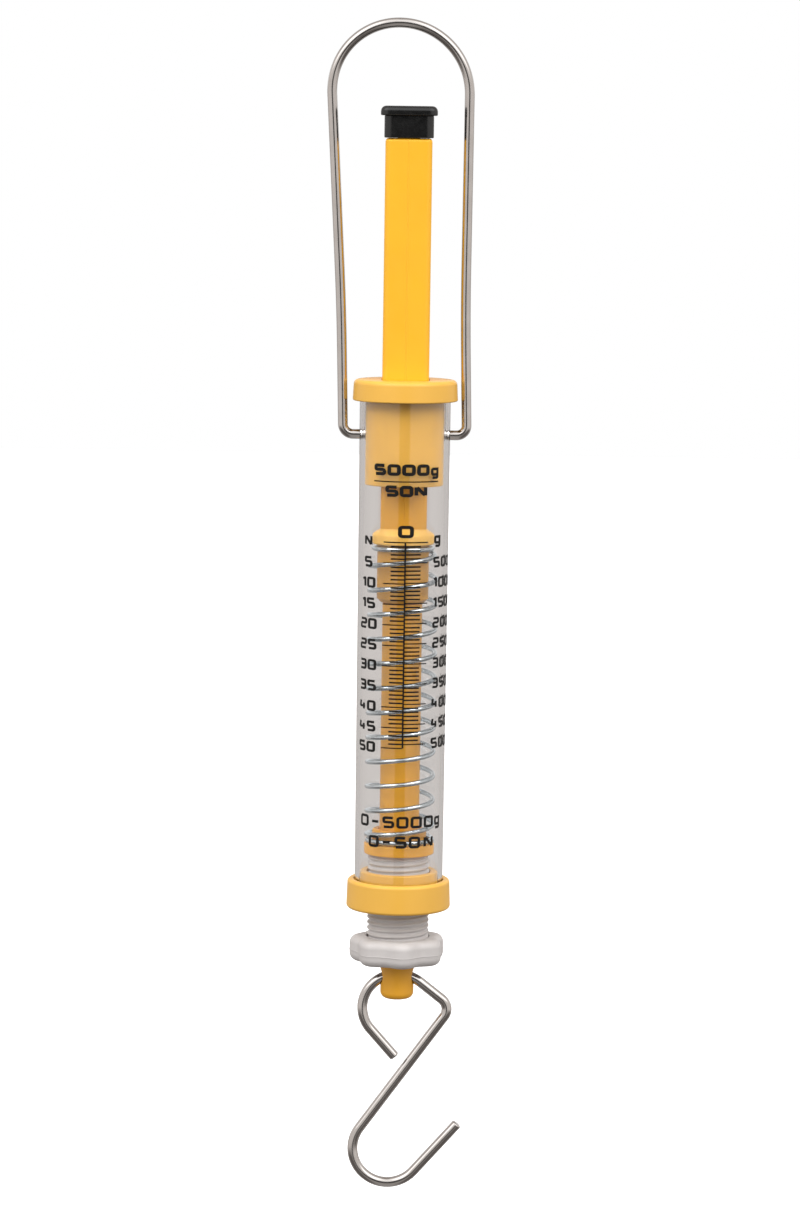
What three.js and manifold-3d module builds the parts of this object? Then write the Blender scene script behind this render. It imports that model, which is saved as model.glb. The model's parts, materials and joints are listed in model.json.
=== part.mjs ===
// Hanging spring scale for pulling and pushing: a clear barrel between two caps, a plunger that slides through it
// on a compression spring, a wire bail above, a wire hook below and a lobed knob that sets the zero.
// Units are millimetres and +Z is up. The front, where the scale is read, faces -Y.
// The origin is on the barrel's axis, level with the inside of the bail's crown, where the scale hangs.

import * as THREE from "three";
import { mergeVertices } from "three/addons/utils/BufferGeometryUtils.js";
import Module from "manifold-3d";

const wasm = await Module();
wasm.setup();

// ---------------------------------------------------------------- driving dimensions

const GAP = 0.3; // between pieces that rest on, or are pressed into, each other
const RUNNING = 0.35; // between a sliding piece and its guide
const OVERRUN = 1; // how far a cutting body reaches past what it cuts
const TURNED_FACETS = 48;
const BORE_FACETS = 32;

// Heights on the barrel's axis, from the hanging point downwards.
const PUSH_FACE_Z = -27.4;
const PUSH_FLANGE_Z = -30.7;
const PUSH_BASE_Z = -38.3;
const TOP_CAP_Z = -123.6;
const TOP_CAP_BASE_Z = -131.1;
const BAIL_PIVOT_Z = -143.2;
const GUIDE_END_Z = -160.9;
const COLLAR_TOP_Z = -176.2;
const COLLAR_BASE_Z = -182.1;
const BOSS_END_Z = -202.8;
const SEAT_BOSS_Z = -284.8;
const SEAT_FACE_Z = -289.6;
const SEAT_BASE_Z = -293.5;
const SPIGOT_TOP_Z = -299.9;
const BOTTOM_CAP_Z = -303.0;
const BOTTOM_CAP_BASE_Z = -313.5;
const KNOB_TOP_Z = -323.9;
const KNOB_BASE_Z = -333.4;
const HOOK_PIVOT_Z = -339.0;
const STEM_END_Z = -346.8;

// Plunger
const BAR_WIDTH = 16.6;
const BAR_CORNER = 2.0;
const NECK_RADIUS = 5.0;
const NECK_REACH = 14; // how far the stem's neck reaches into the bar
const COLLAR_RADIUS = 11.05;
const BOSS_RADIUS = 9.2;
const STEM_RADIUS = 7.1;
const STEM_TIP_RADIUS = 6.0;
const STEM_STEP_Z = -316;
const HOOK_HOLE_RADIUS = 3.0;

// Push cap
const PUSH_FLANGE_WIDTH = 20.0;
const PUSH_BODY_WIDTH = 17.4;
const PUSH_CORNER = 2.4;
const PUSH_EDGE = 1.8;
const PLUG_RADIUS = 4.0;
const PLUG_LENGTH = 9;

// Barrel and caps
const BARREL_TOP_RADIUS = 16.15;
const BARREL_FOOT_RADIUS = 15.8;
const BARREL_BORE = 14.3;
const CAP_RADIUS = 18.7;
const CAP_DRAFT = 0.35; // how much narrower a cap is at its top
const CAP_EDGE = 1.6;
const CAP_PLATE = 3.0;
const GUIDE_RADIUS = 13.9;
const BAIL_HOLE_RADIUS = 2.1;

// Load spring
const SPRING_WIRE = 1.8;
const SPRING_RADIUS = 11.8; // of the wire's centre line
const SPRING_TOP_RADIUS = 10.4; // the top coil is drawn in to sit round the boss
const SPRING_TURNS = 13.7;
const SPRING_CLOSED_PITCH = 2.1;
const SPRING_START_ANGLE = Math.PI / 2;

// Seat and zero adjuster
const SEAT_RADIUS = 12.55;
const SEAT_BOSS_RADIUS = 9.7;
const BUSH_RADIUS = 11.1;
const BUSH_BORE = 7.5;
const KNOB_RADIUS = 16.3;
const KNOB_LOBES = 7;
const KNOB_LOBE_HEIGHT = 1.05;
const KNOB_FIRST_LOBE = THREE.MathUtils.degToRad(-82);
const KNOB_EDGE = 2.0;

// Bail and hook wire
const BAIL_WIRE_RADIUS = 1.75;
const HOOK_WIRE_RADIUS = 1.85;
const BAIL_HALF_WIDTH = 21.95; // at the foot, on the wire's centre line
const BAIL_END = 10.2; // where each inward end stops, from the barrel's axis
const BAIL_CORNER = 3.5;
const BAIL_ARCH = 24.2;
const BAIL_SPREAD = 1.7; // degrees that each arm leans out
const BAIL_LEAN = 0.0253; // the whole bail is bent slightly to the left, by this much for each unit of height

// ---------------------------------------------------------------- solids

// Turns a closed geometry into a solid that can be joined and cut.
function solidOf(geometry) {
  const bare = geometry.clone();
  bare.deleteAttribute("normal");
  bare.deleteAttribute("uv");
  const merged = mergeVertices(bare);
  const corners = merged.index.array;
  const triangles = [];
  for (let i = 0; i < corners.length; i += 3) {
    const [a, b, c] = corners.slice(i, i + 3);
    const isSliver = a === b || b === c || c === a;
    if (!isSliver) triangles.push(a, b, c);
  }
  const mesh = new wasm.Mesh({
    numProp: 3,
    vertProperties: new Float32Array(merged.attributes.position.array),
    triVerts: new Uint32Array(triangles),
  });
  return new wasm.Manifold(mesh);
}

function geometryOf(solid) {
  const mesh = solid.getMesh();
  const geometry = new THREE.BufferGeometry();
  geometry.setAttribute("position", new THREE.BufferAttribute(mesh.vertProperties, 3));
  geometry.setIndex(new THREE.BufferAttribute(mesh.triVerts, 1));
  geometry.computeVertexNormals();
  return geometry;
}

// The first geometry, with the others cut out of it.
function cut(geometry, ...cutters) {
  let solid = solidOf(geometry);
  for (const cutter of cutters) solid = solid.subtract(solidOf(cutter));
  return geometryOf(solid);
}

function join(geometry, ...others) {
  let solid = solidOf(geometry);
  for (const other of others) solid = solid.add(solidOf(other));
  return geometryOf(solid);
}

// An outline of [radius, height] pairs, given anticlockwise, turned round the Z axis.
function turned(outline, facets = TURNED_FACETS) {
  const points = outline.map(([radius, height]) => new THREE.Vector2(radius, height));
  if (points[0].x > 0) points.push(points[0].clone());
  return new THREE.LatheGeometry(points, facets).rotateX(Math.PI / 2);
}

// Points of a quarter-round edge for an outline, from one angle in degrees to another.
function edge(radius, height, round, from, to, steps = 4) {
  return Array.from({ length: steps + 1 }, (_, i) => {
    const angle = THREE.MathUtils.degToRad(from + ((to - from) * i) / steps);
    return [radius + round * Math.cos(angle), height + round * Math.sin(angle)];
  });
}

// A round bar on the Z axis.
function rod(radius, bottom, top, facets = BORE_FACETS) {
  const length = top - bottom;
  const bar = new THREE.CylinderGeometry(radius, radius, length, facets);
  return bar.rotateX(Math.PI / 2).translate(0, 0, bottom + length / 2);
}

// A round bar along X, through the barrel's axis.
function crossRod(radius, length, height) {
  const bar = new THREE.CylinderGeometry(radius, radius, length, BORE_FACETS);
  return bar.rotateZ(Math.PI / 2).translate(0, 0, height);
}

function roundedSquare(width, corner) {
  const inner = width / 2 - corner;
  const quarter = Math.PI / 2;
  const shape = new THREE.Shape();
  shape.absarc(inner, -inner, corner, -quarter, 0);
  shape.absarc(inner, inner, corner, 0, quarter);
  shape.absarc(-inner, inner, corner, quarter, 2 * quarter);
  shape.absarc(-inner, -inner, corner, 2 * quarter, 3 * quarter);
  return shape;
}

function squareBar(width, corner, bottom, top) {
  const options = { depth: top - bottom, bevelEnabled: false, curveSegments: 3 };
  return new THREE.ExtrudeGeometry(roundedSquare(width, corner), options).translate(0, 0, bottom);
}

// A square bar whose top edges are rounded. Its sharp foot is left by cutting off the rounding below.
function crownedSquareBar(width, corner, bottom, top, round) {
  const options = {
    depth: top - bottom,
    bevelThickness: round,
    bevelSize: round,
    bevelOffset: -round,
    bevelSegments: 3,
    curveSegments: 3,
  };
  const block = new THREE.ExtrudeGeometry(roundedSquare(width, corner), options);
  block.translate(0, 0, bottom - round);
  const below = new THREE.BoxGeometry(width * 2, width * 2, width);
  below.translate(0, 0, bottom - width / 2);
  return cut(block, below);
}

// ---------------------------------------------------------------- bent wire

// The centre line of a wire bent in one upright plane. It starts at a point, heading at an angle in degrees from +X
// towards +Z, and goes on by straights and bends. A bend is positive when it turns anticlockwise.
class BentWire extends THREE.Curve {
  constructor(x, z, heading) {
    super();
    this.stretches = [];
    this.steps = 0;
    this.end = new THREE.Vector2(x, z);
    this.heading = THREE.MathUtils.degToRad(heading);
  }

  add(curve, steps) {
    this.stretches.push({ curve, first: this.steps, steps });
    this.steps += steps;
    this.end = curve.getPoint(1);
    return this;
  }

  straight(length) {
    const reach = new THREE.Vector2(Math.cos(this.heading), Math.sin(this.heading)).multiplyScalar(length);
    return this.add(new THREE.LineCurve(this.end.clone(), this.end.clone().add(reach)), 1);
  }

  bend(radius, degrees) {
    const turn = THREE.MathUtils.degToRad(degrees);
    const side = Math.sign(turn);
    const from = this.heading - (side * Math.PI) / 2;
    const centreX = this.end.x - radius * Math.cos(from);
    const centreZ = this.end.y - radius * Math.sin(from);
    const arc = new THREE.EllipseCurve(centreX, centreZ, radius, radius, from, from + turn, side < 0);
    this.heading += turn;
    return this.add(arc, Math.max(2, Math.round(Math.abs(degrees) / 13)));
  }

  getPoint(t) {
    const step = t * this.steps;
    const inside = ({ first, steps }) => step <= first + steps;
    const { curve, first, steps } = this.stretches.find(inside) ?? this.stretches.at(-1);
    const point = curve.getPoint((step - first) / steps);
    return new THREE.Vector3(point.x, 0, point.y);
  }

  // The steps follow the stretches, not the length, so that bends are finer than straights.
  getPointAt(u) {
    return this.getPoint(u);
  }

  getTangentAt(u, target) {
    return this.getTangent(u, target);
  }
}

function sweep(path, steps, radius, sides) {
  const section = new THREE.Shape();
  section.absarc(0, 0, radius, 0, 2 * Math.PI);
  return new THREE.ExtrudeGeometry(section, { steps, extrudePath: path, curveSegments: sides / 2 });
}

// The bail: two inward ends, sharp corners, arms that spread a little and a half-round arch.
function wireBail() {
  const foot = BAIL_HALF_WIDTH - BAIL_CORNER - BAIL_END;
  const lowerArm = 25;
  const armBend = 1062;
  const upperArm = 59.95;
  const path = new BentWire(-BAIL_END, 0, 180)
    .straight(foot)
    .bend(BAIL_CORNER, -90)
    .straight(lowerArm)
    .bend(armBend, BAIL_SPREAD)
    .straight(upperArm)
    .bend(BAIL_ARCH, -180 - 2 * BAIL_SPREAD)
    .straight(upperArm)
    .bend(armBend, BAIL_SPREAD)
    .straight(lowerArm)
    .bend(BAIL_CORNER, -90)
    .straight(foot);
  const lean = new THREE.Matrix4().set(1, 0, -BAIL_LEAN, 0, 0, 1, 0, 0, 0, 0, 1, BAIL_PIVOT_Z, 0, 0, 0, 1);
  return sweep(path, path.steps, BAIL_WIRE_RADIUS, 12).applyMatrix4(lean);
}

// The hook: an open eye through the stem's tip, a sharp shoulder, a slanting shank and the bowl that takes the load.
function loadHook() {
  const path = new BentWire(-0.4, -368.6, 131.5)
    .straight(13.5)
    .bend(12.1, -101.5)
    .bend(13.2, -68)
    .straight(10)
    .bend(4.6, -87.9)
    .straight(51.3)
    .bend(12.6, 174.4)
    .straight(23.8);
  return sweep(path, path.steps, HOOK_WIRE_RADIUS, 12);
}

// ---------------------------------------------------------------- plunger

function pushCap() {
  const flange = crownedSquareBar(PUSH_FLANGE_WIDTH, PUSH_CORNER, PUSH_FLANGE_Z, PUSH_FACE_Z, PUSH_EDGE);
  const body = squareBar(PUSH_BODY_WIDTH, PUSH_CORNER, PUSH_BASE_Z, PUSH_FLANGE_Z + OVERRUN);
  const plug = rod(PLUG_RADIUS, PUSH_BASE_Z - PLUG_LENGTH, PUSH_BASE_Z + OVERRUN);
  return join(flange, body, plug);
}

function plungerBar() {
  const top = PUSH_BASE_Z - GAP;
  const bar = crownedSquareBar(BAR_WIDTH, BAR_CORNER, COLLAR_TOP_Z + GAP, top, 0.8);
  const plugHole = rod(PLUG_RADIUS + GAP, top - PLUG_LENGTH - GAP, top + OVERRUN);
  const socketEnd = COLLAR_TOP_Z + NECK_REACH + 2 * GAP;
  const neckSocket = rod(NECK_RADIUS + GAP, COLLAR_TOP_Z - OVERRUN, socketEnd);
  return cut(bar, plugHole, neckSocket);
}

// The collar whose lower rim is read against the scale, and the boss that centres the spring below it.
function pointerCollar() {
  const bore = NECK_RADIUS + GAP;
  const rim = COLLAR_BASE_Z;
  return turned([
    [bore, BOSS_END_Z],
    [BOSS_RADIUS - 1.3, BOSS_END_Z],
    [BOSS_RADIUS, BOSS_END_Z + 1.3],
    [BOSS_RADIUS, rim],
    ...edge(COLLAR_RADIUS - 0.6, rim + 0.6, 0.6, -90, 0, 2),
    ...edge(COLLAR_RADIUS - 1.8, COLLAR_TOP_Z - 1.8, 1.8, 0, 90),
    [bore, COLLAR_TOP_Z],
  ]);
}

function plungerStem() {
  const tip = 2.4;
  const stem = turned([
    [0, STEM_END_Z],
    ...edge(STEM_TIP_RADIUS - tip, STEM_END_Z + tip, tip, -90, 0),
    [STEM_TIP_RADIUS, STEM_STEP_Z - 1],
    [STEM_RADIUS, STEM_STEP_Z],
    [STEM_RADIUS, BOSS_END_Z - GAP],
    [NECK_RADIUS, BOSS_END_Z - GAP],
    [NECK_RADIUS, COLLAR_TOP_Z + NECK_REACH],
    [0, COLLAR_TOP_Z + NECK_REACH],
  ]);
  return cut(stem, crossRod(HOOK_HOLE_RADIUS, 4 * STEM_TIP_RADIUS, HOOK_PIVOT_Z));
}

// ---------------------------------------------------------------- barrel, caps and guide

function barrelTube() {
  const top = TOP_CAP_Z - CAP_PLATE - GAP;
  const foot = BOTTOM_CAP_BASE_Z + CAP_PLATE + GAP;
  const tube = turned([
    [BARREL_BORE, foot],
    [BARREL_FOOT_RADIUS, foot],
    [BARREL_TOP_RADIUS, top],
    [BARREL_BORE, top],
  ]);
  return cut(tube, crossRod(BAIL_HOLE_RADIUS, 4 * BARREL_TOP_RADIUS, BAIL_PIVOT_Z));
}

function topCap() {
  const top = CAP_RADIUS - CAP_DRAFT;
  const skirt = BARREL_TOP_RADIUS + GAP;
  const cap = turned([
    [0, TOP_CAP_Z - CAP_PLATE],
    [skirt, TOP_CAP_Z - CAP_PLATE],
    [skirt, TOP_CAP_BASE_Z],
    ...edge(CAP_RADIUS - 0.5, TOP_CAP_BASE_Z + 0.5, 0.5, -90, 0, 2),
    ...edge(top - CAP_EDGE, TOP_CAP_Z - CAP_EDGE, CAP_EDGE, 0, 90),
    [0, TOP_CAP_Z],
  ]);
  const window = BAR_WIDTH + 2 * RUNNING;
  return cut(cap, squareBar(window, BAR_CORNER + RUNNING, TOP_CAP_BASE_Z, TOP_CAP_Z + OVERRUN));
}

// The bush under the top cap that keeps the square bar from turning. The bail's ends reach into its sides.
function guideSleeve() {
  const body = rod(GUIDE_RADIUS, GUIDE_END_Z, TOP_CAP_Z - CAP_PLATE - GAP, TURNED_FACETS);
  const window = BAR_WIDTH + 2 * RUNNING;
  const passage = squareBar(window, BAR_CORNER + RUNNING, GUIDE_END_Z - OVERRUN, TOP_CAP_Z);
  return cut(body, passage, crossRod(BAIL_HOLE_RADIUS, 4 * GUIDE_RADIUS, BAIL_PIVOT_Z));
}

function bottomCap() {
  const bore = BUSH_RADIUS + RUNNING;
  const skirt = BARREL_FOOT_RADIUS + GAP;
  const floor = BOTTOM_CAP_BASE_Z + CAP_PLATE;
  const top = CAP_RADIUS - CAP_DRAFT;
  return turned([
    [bore, BOTTOM_CAP_BASE_Z],
    ...edge(CAP_RADIUS - 1, BOTTOM_CAP_BASE_Z + 1, 1, -90, 0, 3),
    ...edge(top - 1.2, BOTTOM_CAP_Z - 1.2, 1.2, 0, 90, 3),
    [skirt, BOTTOM_CAP_Z],
    [skirt, floor],
    [GUIDE_RADIUS, floor],
    [GUIDE_RADIUS, SPIGOT_TOP_Z],
    [bore, SPIGOT_TOP_Z],
  ]);
}

// ---------------------------------------------------------------- spring, seat and zero adjuster

// A right-handed helix that winds downwards: a closed coil at each end and even, open coils between.
class SpringHelix extends THREE.Curve {
  getPoint(t) {
    const top = COLLAR_BASE_Z - GAP - SPRING_WIRE / 2;
    const bottom = SEAT_FACE_Z + GAP + SPRING_WIRE / 2;
    const openDrop = top - bottom - 2 * SPRING_CLOSED_PITCH;
    const openPitch = openDrop / (SPRING_TURNS - 2);
    const turn = t * SPRING_TURNS;
    const openTurns = THREE.MathUtils.clamp(turn - 1, 0, SPRING_TURNS - 2);
    const drop = openTurns * openPitch + (turn - openTurns) * SPRING_CLOSED_PITCH;
    const drawnIn = 1 - THREE.MathUtils.smoothstep(turn, 0.9, 1.6);
    const radius = THREE.MathUtils.lerp(SPRING_RADIUS, SPRING_TOP_RADIUS, drawnIn);
    const angle = SPRING_START_ANGLE - 2 * Math.PI * turn;
    return new THREE.Vector3(radius * Math.cos(angle), radius * Math.sin(angle), top - drop);
  }

  getPointAt(u) {
    return this.getPoint(u);
  }

  getTangentAt(u, target) {
    return this.getTangent(u, target);
  }
}

function loadSpring() {
  const stepsPerTurn = 16;
  return sweep(new SpringHelix(), Math.round(SPRING_TURNS * stepsPerTurn), SPRING_WIRE / 2, 6);
}

function springSeat() {
  return turned([
    [BUSH_BORE, SEAT_BASE_Z],
    [SEAT_RADIUS, SEAT_BASE_Z],
    [SEAT_RADIUS, SEAT_FACE_Z],
    [SEAT_BOSS_RADIUS, SEAT_FACE_Z],
    [SEAT_BOSS_RADIUS, SEAT_BOSS_Z - 0.8],
    [SEAT_BOSS_RADIUS - 0.8, SEAT_BOSS_Z],
    [BUSH_BORE, SEAT_BOSS_Z],
  ]);
}

// The threaded bush. The thread's crests are its outside here.
function zeroAdjustBush() {
  return turned([
    [BUSH_BORE, KNOB_BASE_Z + GAP],
    [BUSH_RADIUS, KNOB_BASE_Z + GAP],
    [BUSH_RADIUS, SEAT_BASE_Z - GAP],
    [BUSH_BORE, SEAT_BASE_Z - GAP],
  ]);
}

function zeroAdjustKnob() {
  const pointsPerLobe = 8;
  const count = KNOB_LOBES * pointsPerLobe;
  const outline = Array.from({ length: count }, (_, i) => {
    const angle = (2 * Math.PI * i) / count;
    const radius = KNOB_RADIUS + KNOB_LOBE_HEIGHT * Math.cos(KNOB_LOBES * (angle - KNOB_FIRST_LOBE));
    return new THREE.Vector2(radius * Math.cos(angle), radius * Math.sin(angle));
  });
  const options = {
    depth: KNOB_TOP_Z - KNOB_BASE_Z - 2 * KNOB_EDGE,
    bevelThickness: KNOB_EDGE,
    bevelSize: KNOB_EDGE,
    bevelOffset: -KNOB_EDGE,
    bevelSegments: 3,
  };
  const body = new THREE.ExtrudeGeometry(new THREE.Shape(outline), options);
  body.translate(0, 0, KNOB_BASE_Z + KNOB_EDGE);
  return cut(body, rod(BUSH_RADIUS + GAP, KNOB_BASE_Z - OVERRUN, KNOB_TOP_Z + OVERRUN, TURNED_FACETS));
}

// ---------------------------------------------------------------- assembly

const finishes = {
  steelWire: { color: 0xb9b4ae, roughness: 0.22, metalness: 1 },
  springSteel: { color: 0xbec8cd, roughness: 0.25, metalness: 1 },
  clearPlastic: { color: 0xe6e2de, roughness: 0.08, metalness: 0, transparent: true, opacity: 0.3 },
  yellowPlastic: { color: 0xf5b82e, roughness: 0.45, metalness: 0 },
  whitePlastic: { color: 0xd8d3cf, roughness: 0.45, metalness: 0 },
  blackRubber: { color: 0x1a1a1a, roughness: 0.7, metalness: 0 },
};

const scale = new THREE.Group();

function place(name, geometry, finish) {
  const mesh = new THREE.Mesh(geometry, new THREE.MeshStandardMaterial(finishes[finish]));
  mesh.name = name;
  scale.add(mesh);
}

place("wire_bail", wireBail(), "steelWire");
place("barrel_tube", barrelTube(), "clearPlastic");
place("top_cap", topCap(), "yellowPlastic");
place("guide_sleeve", guideSleeve(), "yellowPlastic");
place("bottom_cap", bottomCap(), "yellowPlastic");
place("push_cap", pushCap(), "blackRubber");
place("plunger_bar", plungerBar(), "yellowPlastic");
place("pointer_collar", pointerCollar(), "yellowPlastic");
place("plunger_stem", plungerStem(), "yellowPlastic");
place("load_spring", loadSpring(), "springSteel");
place("spring_seat", springSeat(), "yellowPlastic");
place("zero_adjust_bush", zeroAdjustBush(), "whitePlastic");
place("zero_adjust_knob", zeroAdjustKnob(), "whitePlastic");
place("load_hook", loadHook(), "steelWire");

export default scale;
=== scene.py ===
"""Looks of a hanging spring scale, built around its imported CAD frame.

Every piece is a fine mesh that stands for one CAD node and rides on that node's body. Outlines and sizes are
in millimetres and become metres when a mesh is made. Heights run down the barrel's axis from the hanging
point.
"""

import json
import math

import bmesh
import bpy
from mathutils import Euler, Matrix, Vector


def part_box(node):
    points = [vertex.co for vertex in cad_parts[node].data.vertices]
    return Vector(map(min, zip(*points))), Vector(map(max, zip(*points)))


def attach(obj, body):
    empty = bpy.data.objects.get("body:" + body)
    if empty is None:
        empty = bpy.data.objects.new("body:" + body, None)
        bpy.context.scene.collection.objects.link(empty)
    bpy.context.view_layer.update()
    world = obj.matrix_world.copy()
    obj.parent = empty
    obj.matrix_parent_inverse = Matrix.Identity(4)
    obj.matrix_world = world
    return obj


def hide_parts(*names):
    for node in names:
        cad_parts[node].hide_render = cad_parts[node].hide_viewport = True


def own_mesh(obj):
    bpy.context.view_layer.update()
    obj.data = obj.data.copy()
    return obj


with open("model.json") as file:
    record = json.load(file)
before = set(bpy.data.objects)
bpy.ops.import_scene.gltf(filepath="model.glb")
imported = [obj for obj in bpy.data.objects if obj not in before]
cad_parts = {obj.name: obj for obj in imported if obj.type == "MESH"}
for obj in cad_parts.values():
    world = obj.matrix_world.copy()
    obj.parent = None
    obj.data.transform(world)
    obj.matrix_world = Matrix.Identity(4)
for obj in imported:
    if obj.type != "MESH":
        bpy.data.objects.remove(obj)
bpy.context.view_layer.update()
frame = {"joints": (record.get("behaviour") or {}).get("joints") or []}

MM = 0.001
TAU = 2 * math.pi


def low_mm(node):
    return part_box(node)[0][2] / MM


def high_mm(node):
    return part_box(node)[1][2] / MM


def joint_height(name):
    joint = next(j for j in frame["joints"] if j["name"] == name)
    return joint["pos_m"][2] / MM


# ---------------------------------------------------------------- driving sizes

BAIL_PIVOT = joint_height("bail_pivot")
HOOK_PIVOT = joint_height("hook_swing")

BARREL_TOP = high_mm("barrel_tube")
BARREL_FOOT = low_mm("barrel_tube")
BARREL_TOP_RADIUS = 16.15
BARREL_FOOT_RADIUS = 15.8
BARREL_BORE = 14.3
BAIL_HOLE = 2.1

BAR_WIDTH = 16.6
BAR_CORNER = 2.0
RUNNING = 0.22

BAIL_WIRE_RADIUS = 1.75
HOOK_WIRE_RADIUS = 1.85
SPRING_WIRE_RADIUS = 0.9

THREAD_PITCH = 2.0
BUSH_CREST = 11.1
BUSH_ROOT = 10.35
BUSH_BORE = 7.5

# The photograph's view: from in front, a little above the middle of the scale.
CAMERA_DISTANCE = 1.411
CAMERA_HEIGHT = -0.04
CAMERA_TILT = 6.6
CAMERA_YAW = 0.035
CAMERA_ROLL = 0.82
CAMERA_LENS = 118.9

# The print is turned a little to the right of the view.
PRINT_ANGLE = 3.6

# The surround's brightness, as shares of white: its walls from the front (0) round to the back (1), the
# white backdrop low above the horizon behind, the part of its ceiling that is over the front, the brighter
# panels at both sides of that part, its ground, and the darker ground in front at both sides.
SURROUND = 2.4
WALL_STOPS = [
    (0.0, (0.03, 0.03, 0.03)),
    (0.07, (0.035, 0.033, 0.032)),
    (0.085, (0.34, 0.33, 0.322)),
    (0.5, (0.36, 0.345, 0.335)),
    (0.75, (0.225, 0.213, 0.206)),
    (1.0, (0.235, 0.222, 0.215)),
]
BACKDROP = (0.42, 0.42, 0.42)
CEILING = (0.6, 0.6, 0.6)
PANELS = (0.95, 0.95, 0.95)
GROUND = (0.18, 0.173, 0.168)
DARK_GROUND = (0.065, 0.06, 0.057)


# ---------------------------------------------------------------- meshes

def mesh_piece(name, vertices, faces, sharp=35):
    """A piece from vertices in millimetres. Edges steeper than sharp degrees stay crisp."""
    mesh = bpy.data.meshes.new(name)
    mesh.from_pydata([tuple(c * MM for c in v) for v in vertices], [], faces)
    work = bmesh.new()
    work.from_mesh(mesh)
    bmesh.ops.recalc_face_normals(work, faces=work.faces)
    work.to_mesh(mesh)
    work.free()
    mesh.polygons.foreach_set("use_smooth", [True] * len(mesh.polygons))
    mesh.set_sharp_from_angle(angle=math.radians(sharp))
    piece = bpy.data.objects.new(name, mesh)
    bpy.context.collection.objects.link(piece)
    return piece


def rounded(corners, steps=6, closed=True):
    """A line through (x, y, radius) corners, with an arc of that radius at each corner that has one."""
    points = []
    count = len(corners)
    for i, (x, y, radius) in enumerate(corners):
        is_end = not closed and i in (0, count - 1)
        if radius == 0 or is_end:
            points.append((x, y))
            continue
        here = Vector((x, y))
        back = (Vector(corners[i - 1][:2]) - here).normalized()
        ahead = (Vector(corners[(i + 1) % count][:2]) - here).normalized()
        half = back.angle(ahead) / 2
        centre = here + (back + ahead).normalized() * (radius / math.sin(half))
        start = here + back * (radius / math.tan(half)) - centre
        sweep = start.angle_signed(here + ahead * (radius / math.tan(half)) - centre)
        for step in range(steps + 1):
            arm = start.copy()
            arm.rotate(Matrix.Rotation(-sweep * step / steps, 2))
            points.append(tuple(centre + arm))
    return points


def turned(name, corners, facets=128, steps=6):
    """A closed outline of (radius, height, rounding) corners, turned round the barrel's axis."""
    outline = rounded(corners, steps)
    vertices = []
    for k in range(facets):
        angle = TAU * k / facets
        vertices += [(r * math.cos(angle), r * math.sin(angle), z) for r, z in outline]
    return mesh_piece(name, vertices, grid_faces(facets, len(outline), True, True))


def grid_faces(rows, columns, rows_close, columns_close, caps=False):
    """Quads of a grid of vertices stored row by row."""
    faces = []
    for i in range(rows if rows_close else rows - 1):
        following = (i + 1) % rows
        for j in range(columns if columns_close else columns - 1):
            beside = (j + 1) % columns
            faces.append((
                i * columns + j,
                following * columns + j,
                following * columns + beside,
                i * columns + beside,
            ))
    if caps:
        faces.append(tuple(range(columns)))
        faces.append(tuple(range((rows - 1) * columns, rows * columns)))
    return faces


def lofted(name, sections, sharp=35):
    """A solid through closed sections of equal length, each a list of (x, y) points at one height."""
    vertices = [(x, y, height) for height, points in sections for x, y in points]
    columns = len(sections[0][1])
    return mesh_piece(name, vertices, grid_faces(len(sections), columns, False, True, caps=True), sharp)


def square_points(width, corner, seam=0.0, steps=6):
    """A square with rounded corners. A seam is a fine raised line up the middle of its front and back."""
    half = width / 2
    seam_half_width = 0.14
    corners = []
    for side in (-1, 1):
        corners.append((side * half, side * half, corner))
        corners.append((side * seam_half_width * 2, side * half, 0))
        corners.append((side * seam_half_width, side * (half + seam), 0))
        corners.append((-side * seam_half_width, side * (half + seam), 0))
        corners.append((-side * seam_half_width * 2, side * half, 0))
        corners.append((-side * half, side * half, corner))
    return rounded(corners, steps)


def square_ring(width, corner, count=96):
    """A square with rounded corners, as points at equal angles round its middle."""
    half = width / 2
    inner = half - corner
    points = []
    for k in range(count):
        angle = TAU * k / count
        across = max(abs(math.cos(angle)), abs(math.sin(angle)))
        along = min(abs(math.cos(angle)), abs(math.sin(angle)))
        reach = half / across
        if reach * along > inner:
            middle = inner * (across + along)
            reach = middle + math.sqrt(middle ** 2 - 2 * inner ** 2 + corner ** 2)
        points.append((reach * math.cos(angle), reach * math.sin(angle)))
    return points


def round_ring(radius, count=96):
    return [(radius * math.cos(TAU * k / count), radius * math.sin(TAU * k / count)) for k in range(count)]


def quarter_insets(radius, steps=6):
    """Pairs of (inset, drop) down a quarter-round edge, from its top to its side."""
    angles = [math.pi / 2 * step / steps for step in range(steps + 1)]
    return [(radius * (1 - math.sin(a)), radius * (1 - math.cos(a))) for a in angles]


def wire(name, points, radius, sides=32):
    """A round wire along points, which follow its centre line. Its ends are slightly chamfered."""
    path = [Vector(p) for p in points]
    chamfer = radius * 0.25
    rings = []
    side = None
    for i, here in enumerate(path):
        ahead = path[min(i + 1, len(path) - 1)]
        behind = path[max(i - 1, 0)]
        along = (ahead - behind).normalized()
        side = (side or along.orthogonal()) - along * (side or along.orthogonal()).dot(along)
        side.normalize()
        across = along.cross(side)
        rings.append((here, side.copy(), across, along))
    stations = [(rings[0], 0.0, radius - chamfer)]
    stations += [(rings[0], chamfer, radius)]
    stations += [(ring, 0.0, radius) for ring in rings[1:-1]]
    stations += [(rings[-1], -chamfer, radius)]
    stations += [(rings[-1], 0.0, radius - chamfer)]
    vertices = []
    for (here, side, across, along), shift, size in stations:
        for k in range(sides):
            angle = TAU * k / sides
            arm = side * math.cos(angle) + across * math.sin(angle)
            vertices.append(here + along * shift + arm * size)
    return mesh_piece(name, vertices, grid_faces(len(stations), sides, False, True, caps=True), 50)


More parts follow.
